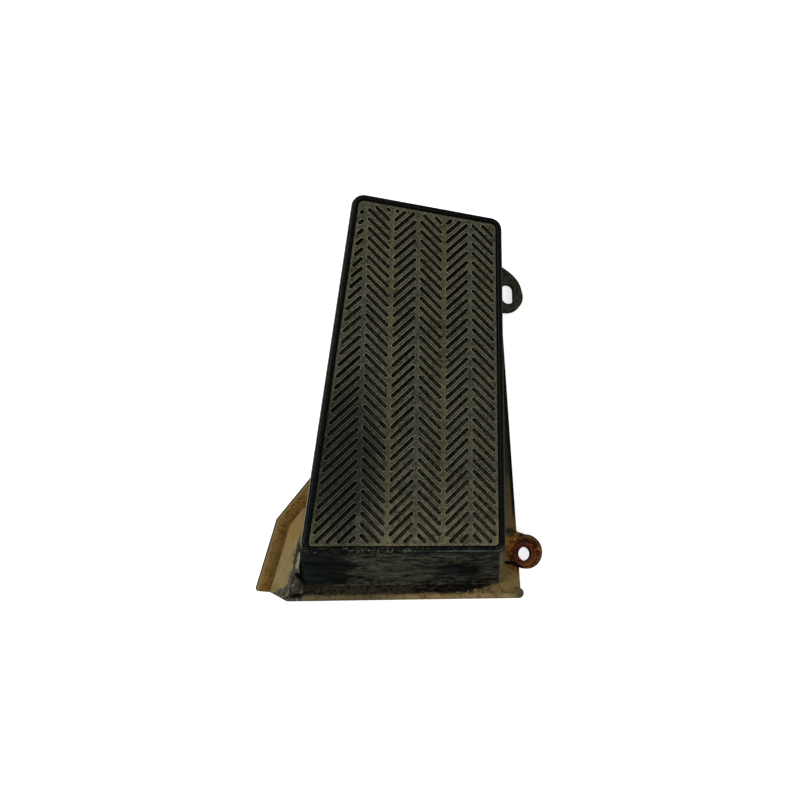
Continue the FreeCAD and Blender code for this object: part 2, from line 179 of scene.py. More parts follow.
def slot_lines():
    """Centre lines of the herringbone's slots, cut to the border."""
    border = inset(RIM, [PAD_INSET + margin for margin in SLOT_MARGINS])
    rise = math.tan(SLOT_ANGLE)
    lines = []
    for column in range(SLOT_COLUMNS):
        x = SLOT_FIRST_X - (column + 0.5) * SLOT_PITCH_X
        direction = -1 if column % 2 == 0 else 1
        for row in SLOT_ROWS:
            y = SLOT_FIRST_Y + row * SLOT_PITCH_Y
            left = SLOT_REACH
            if column == SLOT_COLUMNS - 1:
                y -= SLOT_LAST_DROP
                left = SLOT_LAST_REACH
            a = Vector((x - left, y - direction * left * rise))
            b = Vector((x + SLOT_REACH, y + direction * SLOT_REACH * rise))
            found = clip(a, b, border)
            if found:
                lines.append(found)
    # one more short slot, at the toe edge
    lines.append(tuple(Vector(end) for end in TOE_SLOT))
    return lines


def stadium(a, b, radius):
    """Points round a slot with half-round ends."""
    along = (b - a).normalized()
    side = Vector((-along.y, along.x))
    loop = []
    for centre, start in ((b, -1), (a, 1)):
        for k in range(SLOT_END_STEPS + 1):
            turn = math.pi * k / SLOT_END_STEPS
            loop.append(centre + side * (start * math.cos(turn) * radius)
                        + along * (-start * math.sin(turn) * radius))
    return loop


def distance_to_segment(p, a, b):
    """Distance from a point to a segment."""
    delta = b - a
    t = max(0.0, min(1.0, (p - a).dot(delta) / delta.length_squared))
    return (p - a - delta * t).length


class MeshParts:
    """Vertices and faces gathered from rings and flats."""

    def __init__(self):
        self.verts = []
        self.faces = []

    def ring(self, points):
        start = len(self.verts)
        self.verts.extend(points)
        return list(range(start, len(self.verts)))

    def bridge(self, outer, inner):
        count = len(outer)
        for i in range(count):
            j = (i + 1) % count
            self.faces.append((outer[i], outer[j], inner[j], inner[i]))

    def tube(self, rings, cap_first=True):
        """Join rings in order, and close the last one and, if asked, the first."""
        for first, second in zip(rings, rings[1:]):
            self.bridge(second, first)
        if cap_first:
            self.faces.append(tuple(rings[0]))
        self.faces.append(tuple(reversed(rings[-1])))


class FlatTop:
    """Points and edges in the pad's top plane, each point with its vertex, for filling."""

    def __init__(self):
        self.points = []
        self.edges = []
        self.ids = []

    def add(self, points, ids, links=0):
        """Add points and join each of the first few, links in number, to the next one round."""
        start = len(self.points)
        self.points.extend(points)
        self.ids.extend(ids)
        self.edges.extend((start + k, start + (k + 1) % len(points)) for k in range(links))
        return list(range(start, len(self.points)))


# Slot profile from the flat between lips, over the lip and into the slot: radius, height
SLOT_PROFILE = ((1.88, -0.26), (1.78, -0.2), (1.66, -0.05), (1.5, 0.0), (1.36, -0.04), (1.26, -0.22),
                (1.2, -0.55))
SLOT_FLOOR_DEPTHS = (1.0, 1.9)
FLAT = -0.26
# Rounded edge, then the packed dirt between pad and bead, and the pad's side: inset, height
PAD_EDGE_PROFILE = (
    (PAD_INSET + 0.76, FLAT),
    (PAD_INSET + 0.5, FLAT + 0.08),
    (PAD_INSET + 0.2, FLAT - 0.02),
    (PAD_INSET + 0.02, FLAT - 0.3),
    (PAD_INSET - 0.06, FLAT - 0.62),
    (PAD_INSET - 0.44, FLAT - 0.8),
    (PAD_INSET - 0.44, FLAT - 1.6),
    (PAD_INSET, FLAT - 1.9),
    (PAD_INSET, -PAD_THICKNESS),
)
# Faint groove down each peak of the herringbone: offset, drop
PEAK_GROOVE = ((-0.3, 0.0), (0.0, 0.06), (0.3, 0.0))
PEAK_MARGIN = 1.6
PEAK_ENDS = (-5.0, 240.0)
PEAK_SPACING = 3.0
# A triangle whose centre is nearer to a slot than this lies over the slot, and is left out
SLOT_CLEARANCE = SLOT_PROFILE[0][0] - 0.06
SLOT_HALF_RISE = 45.0
TRIANGLES_INSIDE = 1
MERGE_DISTANCE = 1e-5


def add_slots(parts, flat, lines):
    """Lipped slots, each packed with dirt to its own depth."""
    for a, b in lines:
        floor_height = -random.uniform(*SLOT_FLOOR_DEPTHS)
        floor_profile = ((1.12, floor_height + 0.2), (0.92, floor_height + 0.04), (0.3, floor_height))
        rings = []
        for radius, height in SLOT_PROFILE + floor_profile:
            rings.append(parts.ring([tread_point(p.x, p.y, height) for p in stadium(a, b, radius)]))
        mouth = stadium(a, b, SLOT_PROFILE[0][0])
        flat.add(mouth, rings[0], len(mouth))
        for outer, inner in zip(rings, rings[1:]):
            parts.bridge(outer, inner)
        parts.faces.append(tuple(rings[-1]))


def add_edge(parts, flat):
    """The pad's edge, side and underside; returns the flat's boundary."""
    rings = []
    for distance, height in PAD_EDGE_PROFILE:
        rings.append(parts.ring([tread_point(p.x, p.y, height) for p in rim_loop(distance)]))
    parts.tube(rings, cap_first=False)
    return flat.add(rim_loop(PAD_EDGE_PROFILE[0][0]), rings[0])


def add_peak_grooves(parts, flat):
    """Faint grooves down the herringbone's peaks, fading at both ends."""
    border = inset(RIM, PAD_INSET + PEAK_MARGIN)
    for column in range(1, SLOT_COLUMNS, 2):
        x = SLOT_FIRST_X - column * SLOT_PITCH_X
        for offset, drop in PEAK_GROOVE:
            start, end = clip(*[Vector((x + offset, y)) for y in PEAK_ENDS], border)
            count = int((end - start).length / PEAK_SPACING)
            line = [start.lerp(end, k / count) for k in range(count + 1)]
            points = []
            for k, p in enumerate(line):
                fade = min(1.0, k / 2, (count - k) / 2)
                points.append(tread_point(p.x, p.y, FLAT - drop * fade))
            flat.add(line, parts.ring(points), count)


def fill_flat(parts, flat, boundary, lines):
    """Triangles between the boundary, the slots and the grooves."""
    result = geometry.delaunay_2d_cdt(
        flat.points, flat.edges, [boundary], TRIANGLES_INSIDE, MERGE_DISTANCE)
    coords, triangles, origin = result[0], result[2], result[3]
    ids = []
    for coord, sources in zip(coords, origin):
        if sources:
            ids.append(flat.ids[sources[0]])
        else:
            ids.extend(parts.ring([tread_point(coord.x, coord.y, FLAT)]))
    for triangle in triangles:
        centre = (coords[triangle[0]] + coords[triangle[1]] + coords[triangle[2]]) / 3
        if any(distance_to_segment(centre, a, b) < SLOT_CLEARANCE for a, b in lines
               if abs(centre.y - (a.y + b.y) / 2) < SLOT_HALF_RISE):
            continue
        parts.faces.append(tuple(ids[k] for k in triangle))


def pad_mesh(material):
    """The tread pad as one closed mesh."""
    parts = MeshParts()
    flat = FlatTop()
    lines = slot_lines()
    add_slots(parts, flat, lines)
    boundary = add_edge(parts, flat)
    add_peak_grooves(parts, flat)
    fill_flat(parts, flat, boundary, lines)
    for x in PEG_COLUMNS:
        for y in PEG_ROWS:
            add_peg(parts, x, y)
    return make_object("tread_pad_detailed", parts, material)


# Push-in peg, from the pad down: radius, height
PEG_STEPS = 20
PEG_PROFILE = ((2.6, -4.1), (2.6, -7.35), (3.2, -7.4), (4.25, -7.5), (4.38, -7.8), (4.1, -8.4),
               (3.3, -9.9), (2.7, -10.4), (1.6, -10.5), (0.5, -10.5))


def add_peg(parts, x, y):
    """One push-in peg under the pad, closed by itself."""
    rings = []
    for radius, height in PEG_PROFILE:
        points = []
        for k in range(PEG_STEPS):
            turn = 2 * math.pi * k / PEG_STEPS
            points.append(tread_point(x + radius * math.cos(turn), y + radius * math.sin(turn), height))
        rings.append(parts.ring(points))
    parts.tube(rings)


# Dried mud in the groove between the end wall and the heel lip, in the row frame
MUD_LEFT, MUD_RIGHT = -147.0, -13.0
MUD_LIP, MUD_WALL = -25.4, -18.2
MUD_BOTTOM = 2.3
MUD_COLUMNS = 300
MUD_ROWS = 16
MUD_FADE = 5.0
MUD_SPILL_START, MUD_SPILL_LENGTH = -62.0, 30.0


def mud_height(x, y):
    """Top of the mud: banked against the lip towards the right, and in clots at the wall's foot."""
    across = (y - MUD_LIP) / (MUD_WALL - MUD_LIP)
    lump = noise.fractal(Vector((x * 0.2, y * 0.3, 1.0)), 0.9, 2.0, 4)
    crumb = noise.fractal(Vector((x * 0.7, y * 0.8, 7.0)), 0.7, 2.0, 3)
    spill = min(1.0, max(0.0, (x - MUD_SPILL_START) / MUD_SPILL_LENGTH))
    bank = (1.0 - across) ** 2 * (0.8 + 1.5 * spill)
    clots = max(0.0, lump + 0.15) * 2.0 * across
    height = 0.35 + bank + clots + 0.4 * lump + 0.35 * crumb
    fade = min(1.0, (x - MUD_LEFT) / MUD_FADE, (MUD_RIGHT - x) / MUD_FADE)
    return MUD_BOTTOM + 0.1 + max(0.0, height) * fade


def mud_mesh(material):
    """The mud as one closed mesh, swept from left to right."""
    parts = MeshParts()
    rings = []
    for i in range(MUD_COLUMNS + 1):
        x = MUD_LEFT + (MUD_RIGHT - MUD_LEFT) * i / MUD_COLUMNS
        loop = []
        for j in range(MUD_ROWS + 1):
            y = MUD_LIP + (MUD_WALL - MUD_LIP) * j / MUD_ROWS
            loop.append(Vector((x, y, mud_height(x, y))) * MM)
        loop.append(Vector((x, MUD_WALL, MUD_BOTTOM)) * MM)
        loop.append(Vector((x, MUD_LIP, MUD_BOTTOM)) * MM)
        rings.append(parts.ring(loop))
    parts.tube(rings)
    return make_object("dried_mud", parts, material)


# ---------------------------------------------------------------- materials

class Shader:
    """A node tree built from short calls. Lengths are in millimetres."""

    def __init__(self, name):
        self.material = bpy.data.materials.new(name)
        self.material.use_nodes = True
        self.tree = self.material.node_tree
        self.tree.nodes.clear()
        self.output = self.tree.nodes.new("ShaderNodeOutputMaterial")
        self.bsdf = self.tree.nodes.new("ShaderNodeBsdfPrincipled")
        self.tree.links.new(self.bsdf.outputs[0], self.output.inputs[0])
        place = self.tree.nodes.new("ShaderNodeTexCoord")
        self.point = self.vector("SCALE", place.outputs["Object"], None, 1000.0)
        split = self.tree.nodes.new("ShaderNodeSeparateXYZ")
        self.tree.links.new(self.point, split.inputs[0])
        self.x, self.y, self.z = split.outputs
        normal = self.tree.nodes.new("ShaderNodeSeparateXYZ")
        self.tree.links.new(place.outputs["Normal"], normal.inputs[0])
        self.nx, self.ny, self.nz = normal.outputs

    def put(self, value, socket):
        if isinstance(value, bpy.types.NodeSocket):
            self.tree.links.new(value, socket)
        elif value is not None:
            socket.default_value = value

    def vector(self, operation, a, b=None, scale=None):
        node = self.tree.nodes.new("ShaderNodeVectorMath")
        node.operation = operation
        self.put(a, node.inputs[0])
        self.put(b, node.inputs[1])
        if scale is not None:
            self.put(scale, node.inputs["Scale"])
        return node.outputs["Value" if operation == "DOT_PRODUCT" else "Vector"]

    def math(self, operation, a, b=None, clamp=False):
        node = self.tree.nodes.new("ShaderNodeMath")
        node.operation = operation
        node.use_clamp = clamp
        self.put(a, node.inputs[0])
        self.put(b, node.inputs[1])
        return node.outputs[0]

    def add(self, a, b):
        return self.math("ADD", a, b)

    def sub(self, a, b):
        return self.math("SUBTRACT", a, b)

    def mul(self, a, b, clamp=False):
        return self.math("MULTIPLY", a, b, clamp=clamp)

    def low(self, a, b):
        return self.math("MINIMUM", a, b)

    def high(self, a, b):
        return self.math("MAXIMUM", a, b)

    def invert(self, a):
        return self.math("SUBTRACT", 1.0, a)

    def step(self, value, start, end, low=0.0, high=1.0):
        """Smooth rise from low to high as value goes from start to end."""
        node = self.tree.nodes.new("ShaderNodeMapRange")
        node.interpolation_type = "SMOOTHSTEP"
        for socket, item in zip(node.inputs, (value, start, end, low, high)):
            self.put(item, socket)
        return node.outputs[0]

    def band(self, value, start, end, soft):
        """1 between start and end, with soft edges."""
        rise = self.step(value, start - soft, start + soft)
        fall = self.step(value, end - soft, end + soft, 1.0, 0.0)
        return self.mul(rise, fall)

    def mapped(self, scale, turn):
        """The point scaled and turned, to stretch noise along a direction."""
        node = self.tree.nodes.new("ShaderNodeMapping")
        self.put(self.point, node.inputs[0])
        node.inputs["Rotation"].default_value = turn
        node.inputs["Scale"].default_value = scale
        return node.outputs[0]

    def noise(self, size, detail, rough, distortion=0.0, where=None):
        """Noise whose features are about size millimetres across."""
        node = self.tree.nodes.new("ShaderNodeTexNoise")
        self.put(where or self.point, node.inputs["Vector"])
        node.inputs["Scale"].default_value = 1.0 / size
        node.inputs["Detail"].default_value = detail
        node.inputs["Roughness"].default_value = rough
        node.inputs["Distortion"].default_value = distortion
        return node.outputs["Fac"]

    def mix(self, fac, a, b):
        node = self.tree.nodes.new("ShaderNodeMix")
        node.data_type = "RGBA"
        self.put(fac, node.inputs[0])
        for value, socket in ((a, node.inputs[6]), (b, node.inputs[7])):
            if isinstance(value, tuple):
                value = value + (1.0,)
            self.put(value, socket)
        return node.outputs[2]

    def blend(self, fac, a, b):
        """Number between a and b."""
        return self.add(self.mul(self.invert(fac), a), self.mul(fac, b))

    def wander(self, noise, size):
        """Noise as a shift either way, so that an edge wanders over about size millimetres."""
        return self.mul(self.sub(noise, 0.5), size)

    def near(self, start, end, wobble, core, soft):
        """1 within core of a segment, fading to 0 at soft, with a wobbly edge."""
        return self.step(self.add(self.segment(start, end), wobble), soft, core)

    def line(self, a, b):
        """Signed distance in plan from the line a to b, positive on its left."""
        along = (Vector(b) - Vector(a)).normalized()
        normal = (-along.y, along.x, 0.0)
        offset = normal[0] * a[0] + normal[1] * a[1]
        return self.sub(self.vector("DOT_PRODUCT", self.point, normal), offset)

    def radius(self, x, y, stretch=1.0):
        """Distance in plan from a point."""
        dx = self.sub(self.x, x)
        dy = self.mul(self.sub(self.y, y), stretch)
        return self.math("SQRT", self.add(self.mul(dx, dx), self.mul(dy, dy)))

    def rim_distance(self):
        """Distance in plan inside the rounded outline of the rim."""
        corners = [tread_point(x, y, 0.0) / MM for x, y in RIM]
        sides = [self.line(a, b) for a, b in zip(corners, corners[1:] + corners[:1])]
        total = None
        for i, radius in enumerate(RIM_RADII):
            first = self.high(self.sub(radius, sides[i - 1]), 0.0)
            second = self.high(self.sub(radius, sides[i]), 0.0)
            reach = self.math("SQRT", self.add(self.mul(first, first), self.mul(second, second)))
            inside = self.sub(radius, reach)
            total = inside if total is None else self.low(total, inside)
        return total

    def segment(self, a, b):
        """Distance in plan from the segment a to b."""
        delta = Vector(b) - Vector(a)
        to_a = self.vector("SUBTRACT", self.point, (a[0], a[1], 0.0))
        along = self.vector("DOT_PRODUCT", to_a, (delta.x, delta.y, 0.0))
        share = self.mul(along, 1 / delta.length_squared, clamp=True)
        dx = self.sub(self.sub(self.x, a[0]), self.mul(share, delta.x))
        dy = self.sub(self.sub(self.y, a[1]), self.mul(share, delta.y))
        return self.math("SQRT", self.add(self.mul(dx, dx), self.mul(dy, dy)))

    def tread_height(self):
        """Height above the tread plane, along its normal."""
        c, s = math.cos(TREAD_SLOPE), math.sin(TREAD_SLOPE)
        offset = -TREAD_ORIGIN.y * s + TREAD_ORIGIN.z * c
        return self.sub(self.vector("DOT_PRODUCT", self.point, (0.0, -s, c)), offset)

    def finish(self, colour, roughness, height, depth, specular):
        """Material with a bump of the given depth; specular is a constant on the shader's own socket."""
        self.put(colour, self.bsdf.inputs["Base Color"])
        self.put(roughness, self.bsdf.inputs["Roughness"])
        self.bsdf.inputs["Specular IOR Level"].default_value = specular
        bump = self.tree.nodes.new("ShaderNodeBump")
        bump.inputs["Distance"].default_value = depth * MM
        self.put(height, bump.inputs["Height"])
        self.tree.links.new(bump.outputs[0], self.bsdf.inputs["Normal"])
        return self.material


def srgb(r, g, b):
    """Linear colour from 0 to 255 screen values."""
    def linear(v):
        v = v / 255
        return v / 12.92 if v <= 0.04045 else ((v + 0.055) / 1.055) ** 2.4
    return (linear(r), linear(g), linear(b))


# Housing
WET_BLACK = srgb(1, 5, 6)
WET_SHEEN = srgb(30, 38, 35)
BARE_PLASTIC = srgb(12, 14, 13)
BEAD_DARK = srgb(2, 3, 3)
BEAD_LIGHT = srgb(6, 8, 8)
GREY_DUST = srgb(99, 100, 86)
BROWN_DUST = srgb(87, 86, 68)
BEAD_WORN_HIGHLIGHT = srgb(82, 88, 86)
BEAD_OUTER_PALE = srgb(104, 106, 96)
LEDGE_DUST = srgb(150, 144, 120)
FOOT_EDGE = srgb(118, 114, 94)
FOOT_MUD = srgb(66, 55, 36)
FOOT_MUD_DARK = srgb(20, 16, 11)
SCRAPE = srgb(122, 120, 104)
CORNER_DUST = srgb(112, 107, 88)
INSIDE_DARK = srgb(16, 18, 18)
INSIDE_LIGHT = srgb(38, 37, 31)
# Tread
RUBBER_LIGHT = srgb(41, 44, 34)
RUBBER_DARK = srgb(33, 37, 29)
RUBBER_PEAK = srgb(44, 49, 46)
RUBBER_BROWN = srgb(72, 67, 46)
RUBBER_WORN = srgb(20, 24, 20)
LIP_GREY = srgb(122, 124, 102)
LIP_BROWN = srgb(134, 128, 98)
LIP_WORN = srgb(82, 84, 72)
BORDER_DUST = srgb(110, 105, 83)
GRIME = srgb(22, 23, 17)
GRIME_GRAIN = srgb(14, 15, 11)
DUST_GRAIN = srgb(124, 121, 98)
SLOT_BLACK = srgb(3, 4, 2)
SLOT_DIRT = srgb(54, 51, 41)
SLOT_WORN = srgb(4, 5, 4)
SLOT_WALL_SHADE = srgb(2, 3, 2)
SEAM_DIRT = srgb(48, 42, 29)
SEAM_DIRT_DARK = srgb(16, 15, 11)
# Base
OCHRE = srgb(116, 88, 38)
OCHRE_DARK = srgb(68, 47, 16)
OCHRE_PALE = srgb(120, 96, 50)
OCHRE_GRAIN = srgb(54, 40, 15)
OCHRE_FOLD_SHADE = srgb(66, 47, 17)
WING_EDGE_HIGHLIGHT = srgb(118, 104, 72)
WING_EDGE_DARK = srgb(46, 42, 32)
TAN_LIT_PALE = srgb(142, 124, 84)
TAN_LIT_DEEP = srgb(124, 105, 65)
TAN_LIT_TOEWARD = srgb(134, 108, 62)
TAN_GRAIN = srgb(84, 72, 45)
TAN_SPECK = srgb(70, 52, 26)
FLANGE_HEEL = srgb(124, 103, 62)
FLANGE_MIDDLE = srgb(98, 88, 60)
FLANGE_OLIVE = srgb(62, 58, 44)
FLANGE_TOE = srgb(68, 69, 58)
FLANGE_TOE_DARK = srgb(20, 21, 18)
FLANGE_BLOT = srgb(84, 66, 34)
FLANGE_BLOT_DARK = srgb(30, 30, 24)
FLANGE_EDGE = srgb(24, 22, 17)
LIP_MUD = srgb(136, 116, 80)
LIP_MUD_DARK = srgb(114, 96, 62)
LIP_MUD_LEFT = srgb(82, 73, 49)
LIP_MUD_END = srgb(104, 92, 64)
LIP_MUD_GRAIN = srgb(58, 46, 26)
CRUST = srgb(116, 95, 60)
CRUST_DARK = srgb(70, 56, 33)
GROOVE_BLACK_DIRT_AND_SHADE = srgb(3, 3, 2)
GROOVE_DIRT = srgb(44, 37, 23)
GROOVE_GREY = srgb(48, 45, 31)
GROOVE_GREY_DARK = srgb(8, 8, 5)
RAMP_DARK = srgb(24, 27, 25)
RAMP_GREY = srgb(96, 93, 77)
RAMP_PALE = srgb(168, 160, 138)
RAMP_GOUGE = srgb(4, 4, 4)
RAMP_STREAK = srgb(176, 168, 144)
RAMP_CLOT = srgb(12, 13, 12)
SMEAR_LIGHT = srgb(96, 80, 58)
SMEAR_DARK = srgb(52, 44, 30)
KNOB_PLASTIC = srgb(40, 42, 36)
KNOB_MUD = srgb(84, 80, 62)
PATCH_GREY = srgb(74, 76, 60)
PATCH_DARK = srgb(30, 31, 26)
AMBER = srgb(146, 88, 34)
AMBER_DARK = srgb(30, 11, 6)
STAIN_LIGHT = srgb(172, 118, 46)
STAIN_DARK = srgb(96, 52, 18)
RUST_TOP = srgb(44, 20, 10)
RUST_DEEP = srgb(56, 12, 6)
RUST_BRINK = srgb(44, 14, 8)
CRACK_SHADOW_AND_DIRT = srgb(10, 8, 5)
TOE_MUD = srgb(78, 78, 66)
TOE_MUD_DARK = srgb(41, 42, 34)
TOE_RUST = srgb(56, 36, 22)
TOE_GRAIN = srgb(20, 18, 14)
UNDER_PLASTIC = srgb(18, 20, 20)
UNDER_DUST = srgb(50, 47, 38)
# Rusty steel
RUST_RED = srgb(146, 62, 26)
RUST_BLACK = srgb(24, 5, 4)
RUST_AMBER = srgb(122, 74, 28)
RUST_ARC = srgb(64, 14, 8)
RUST_GRAIN = srgb(34, 10, 7)
BORE_SHADE = srgb(16, 9, 6)
# Stained steel
STEEL_GREY = srgb(78, 74, 60)
STEEL_DARK = srgb(44, 40, 32)
STEEL_RUST = srgb(72, 40, 22)
STEEL_GRAIN = srgb(18, 15, 12)
# Screws
ZINC_BRIGHT = srgb(170, 166, 152)
ZINC_DULL = srgb(104, 94, 76)


# Small dark spot on the end wall, in x and z
DARK_SPOT = (-49.0, 21.5)


def housing_grain(s):
    """Noises and masks that the housing's dust, scuffs and wear share."""
    g = SimpleNamespace()
    g.height = s.tread_height()
    g.rim = s.rim_distance()
    g.fine = s.noise(1.1, 4, 0.7)
    g.grit = s.noise(2.6, 4, 0.65)
    g.medium = s.noise(9.0, 5, 0.62)
    g.broad = s.noise(38.0, 3, 0.5)
    g.streak = s.noise(4.6, 6, 0.78, 0.7, s.mapped((0.26, 1.0, 1.2), (0.0, 0.06, 0.0)))
    g.scratch = s.noise(1.2, 4, 0.7, 0.8, s.mapped((0.2, 0.8, 1.1), (0.0, 0.08, 0.0)))
    g.bead = s.step(g.height, -2.35, -2.1)
    g.heel_wall = s.mul(s.step(s.ny, -0.25, -0.45), s.invert(g.bead))
    g.brush = s.noise(7.0, 5, 0.72, 0.5, s.mapped((0.22, 1.0, 1.3), (0.0, 0.08, 0.0)))
    g.blotch = s.noise(7.0, 6, 0.7, 0.5)
    g.speck = s.step(s.add(s.mul(g.fine, 0.7), s.mul(g.grit, 0.4)), 0.56, 0.64)
    return g


def wiped_marks(s, g):
    """Masks of the end wall's wiped patch at its left, and of its small dark spot."""
    ragged = s.add(s.wander(g.brush, 60.0), s.wander(g.medium, 14.0))
    wet = s.mul(s.step(s.add(s.x, ragged), -116.0, -120.0), s.step(s.ny, -0.1, -0.4))
    spot_x = s.mul(s.sub(s.x, DARK_SPOT[0]), 0.5)
    spot_z = s.sub(s.z, DARK_SPOT[1])
    spot = s.math("SQRT", s.add(s.mul(spot_x, spot_x), s.mul(spot_z, spot_z)))
    dark_spot = s.step(s.add(spot, s.mul(ragged, 0.12)), 8.4, 5.2)
    return wet, dark_spot


def end_wall_dust(s, g, wet, dark_spot):
    """Dust in long scuffs on the end wall."""
    strokes = s.add(s.mul(g.streak, 0.6), s.add(s.mul(g.blotch, 0.2), s.mul(g.grit, 0.2)))
    wall_dust = s.add(s.step(strokes, 0.39, 0.62, -0.02, 0.88), s.wander(g.broad, 0.7))
    wall_dust = s.sub(wall_dust, s.step(s.x, -90.0, -30.0, 0.04, 0.2))
    wall_dust = s.add(wall_dust, s.step(g.scratch, 0.55, 0.63, 0.0, 0.45))
    wall_dust = s.sub(wall_dust, s.step(g.scratch, 0.45, 0.38, 0.0, 0.6))
    return s.mul(wall_dust, s.invert(s.high(s.mul(wet, 0.93), dark_spot)))


def side_wall_dust(s, g):
    """Dust on the side and toe walls, gathered towards the foot."""
    grain = s.add(s.mul(g.broad, 0.35), s.add(s.mul(g.blotch, 0.35), s.mul(g.grit, 0.3)))
    side_dust = s.step(grain, 0.42, 0.6, 0.02, 0.5)
    low_dust = s.step(s.add(s.z, s.wander(g.blotch, 22.0)), 15.0, 3.0, 0.0, 0.4)
    return s.add(side_dust, low_dust)


def bead_wear(s, g, colour):
    """Shoulder of the bead, rubbed and with a painted highlight, its outside paler, and dust on the
    ledge below it.
    """
    # rubbed pale on the bead's shoulder: partly wear, partly a painted highlight
    shoulder = s.mul(s.band(g.rim, 0.75, 1.5, 0.25), g.bead)
    catches = s.step(s.add(s.mul(g.medium, 0.7), s.mul(g.fine, 0.4)), 0.42, 0.66, 0.1, 1.0)
    rubbed = s.mul(shoulder, catches)
    heel_bead = s.step(s.y, 6.0, 3.0)
    rubbed_highlight_sides = s.step(s.x, -80.0, -100.0, 0.06, 0.16)
    rubbed = s.mul(rubbed, s.blend(heel_bead, rubbed_highlight_sides, s.step(s.x, -95.0, -70.0, 0.0, 0.8)))
    colour = s.mix(rubbed, colour, BEAD_WORN_HIGHLIGHT)
    # paler along the bead's outer edge
    outer = s.mul(s.mul(s.step(g.rim, 0.9, 0.4), g.bead), s.step(g.grit, 0.25, 0.5, 0.5, 1.0))
    outer = s.mul(outer, s.mul(s.invert(heel_bead), s.step(s.x, -60.0, -40.0, 0.0, 0.55)))
    colour = s.mix(outer, colour, BEAD_OUTER_PALE)
    ledge = s.mul(s.step(s.nz, 0.85, 0.97), s.band(g.height, -2.62, -2.15, 0.1))
    ledge = s.mul(ledge, s.step(s.y, 3.0, 7.0))
    return s.mix(s.mul(ledge, 0.9), colour, LEDGE_DUST)


def wall_foot(s, g, colour, wet):
    """Foot of the end wall: a pale worn edge, mud clots towards the right, and scrapes above."""
    edge = s.mul(s.mul(s.band(s.z, 2.4, 4.0, 0.4), g.heel_wall), s.step(g.medium, 0.35, 0.6))
    colour = s.mix(s.mul(edge, 0.7), colour, FOOT_EDGE)
    foot = s.step(s.add(s.z, s.wander(g.medium, 13.0)), 5.0, 2.8)
    foot = s.mul(foot, s.step(s.x, -95.0, -70.0, 0.1, 1.0))
    foot_mud = s.mix(s.step(g.grit, 0.42, 0.6), FOOT_MUD, FOOT_MUD_DARK)
    colour = s.mix(s.mul(foot, 0.85), colour, foot_mud)
    scrape = s.mul(s.mul(s.step(g.scratch, 0.64, 0.7), g.heel_wall), s.mul(s.invert(wet), 0.45))
    return s.mix(scrape, colour, SCRAPE)


def housing_material():
    """Black plastic with dust, scuffs and mud, and a rubbed bead with a painted highlight."""
    s = Shader("housing_plastic")
    g = housing_grain(s)
    wet, dark_spot = wiped_marks(s, g)
    wall_dust = end_wall_dust(s, g, wet, dark_spot)
    side_dust = side_wall_dust(s, g)
    bead_share = s.mul(s.step(s.y, 8.0, 1.0, 0.04, 0.95), s.step(s.x, -70.0, -90.0, 0.35, 1.0))
    bead_dust = s.mul(g.speck, bead_share)
    dust = s.blend(g.heel_wall, side_dust, wall_dust)
    dust = s.blend(g.bead, dust, bead_dust)
    dust = s.mul(dust, s.add(0.55, s.mul(g.grit, 0.9)), clamp=True)
    wet_colour = s.mix(s.step(g.brush, 0.42, 0.62), WET_BLACK, WET_SHEEN)
    colour = s.mix(s.high(wet, dark_spot), BARE_PLASTIC, wet_colour)
    colour = s.mix(g.bead, colour, s.mix(g.medium, BEAD_DARK, BEAD_LIGHT))
    colour = s.mix(dust, colour, s.mix(g.broad, GREY_DUST, BROWN_DUST))
    colour = bead_wear(s, g, colour)
    colour = wall_foot(s, g, colour, wet)
    # dust caught on the right-hand corner
    corner = s.mul(s.mul(s.step(s.nx, 0.2, 0.5), s.step(s.x, -34.0, -28.0)), s.step(s.y, 6.0, -3.0))
    corner = s.mul(s.mul(corner, s.invert(g.bead)), s.step(g.medium, 0.3, 0.55, 0.3, 0.85))
    colour = s.mix(corner, colour, CORNER_DUST)
    # plain inside faces
    inside = s.mul(s.step(s.nz, -0.05, -0.3), s.step(g.height, -3.0, -5.0))
    inside_colour = s.mix(s.step(g.medium, 0.4, 0.7), INSIDE_DARK, INSIDE_LIGHT)
    colour = s.mix(inside, colour, inside_colour)
    rough = s.add(s.blend(dust, 0.32, 0.8), s.mul(g.fine, 0.14))
    relief = s.add(s.mul(g.fine, 0.35), s.add(s.mul(dust, 0.6), s.mul(g.streak, 0.8)))
    relief = s.add(relief, s.mul(s.mul(g.speck, g.bead), 0.6))
    return s.finish(colour, rough, relief, depth=0.16, specular=0.07)


# Middle of the dark, worn area at the tread's left, and the x of a valley of the herringbone
WORN_AREA = (-126.0, 55.0)
VALLEY_X = -27.7


